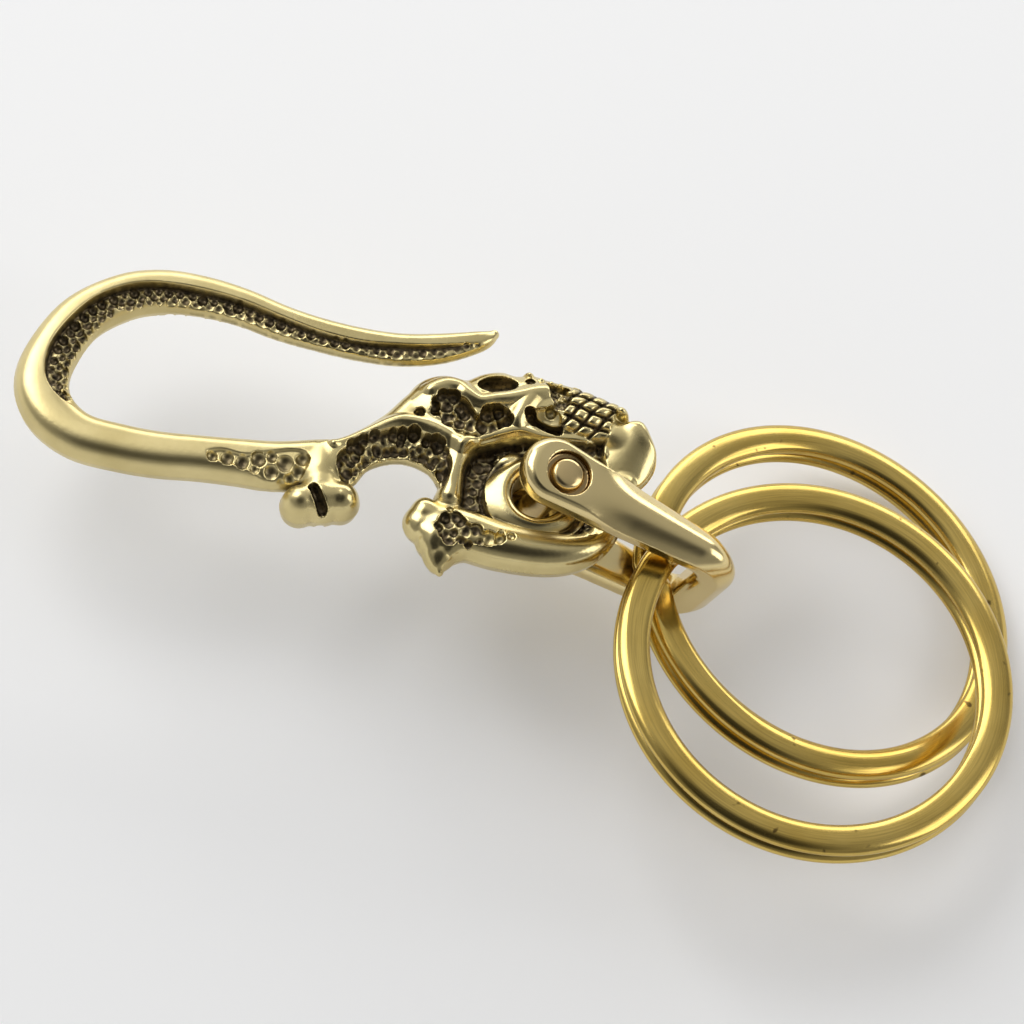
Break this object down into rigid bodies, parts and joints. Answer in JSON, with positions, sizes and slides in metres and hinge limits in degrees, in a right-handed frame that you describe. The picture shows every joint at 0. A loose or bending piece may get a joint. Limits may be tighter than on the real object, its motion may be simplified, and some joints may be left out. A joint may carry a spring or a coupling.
{
  "type": "belt key clip",
  "caption": "Cast brass belt hook shaped as a skull in profile with a long bone arm, carrying a riveted swinging shackle and split key rings.",
  "frame": {"origin": "middle of the belt gap, on the mid-plane of the casting", "axes": "+X along the shank from the bend towards the rings, +Y from the shank towards the hook arm, +Z square to the casting, out of the face shown"},
  "size_m": [0.0871, 0.055, 0.0212],
  "materials": {
    "cast_brass": "polished on the high places, dark patina in the recesses",
    "polished_brass": "polished",
    "ring_brass": "drawn, polished"
  },
  "bodies": {
    "hook": {"hook_body": "cast_brass"},
    "pin": {"shackle_pin": "polished_brass"},
    "shackle": {"shackle": "polished_brass"},
    "front_ring": {"front_split_ring": "ring_brass"},
    "back_ring": {"back_split_ring": "ring_brass"}
  },
  "joints": [
    {"name": "pin_rock", "type": "hinge", "parent": "hook", "child": "pin", "pos_m": [0.03374, -0.01218, 0], "axis": [0.5, 0.866, 0], "range_deg": [-22, 2]},
    {"name": "shackle_swing", "type": "hinge", "parent": "pin", "child": "shackle", "pos_m": [0.03429, -0.01208, 0.00058], "axis": [0.2168, -0.1252, 0.9681], "range_deg": [-72, 1]},
    {"name": "front_ring_swing", "type": "hinge", "parent": "shackle", "child": "front_ring", "pos_m": [0.04882, -0.01856, -0.00098], "axis": [0.1143, -0.0022, 0.9934], "range_deg": [-13, 6]},
    {"name": "back_ring_swing", "type": "hinge", "parent": "shackle", "child": "back_ring", "pos_m": [0.04797, -0.01808, -0.00476], "axis": [0.2496, 0.0548, 0.9668], "range_deg": [-8, 3]}
  ]
}
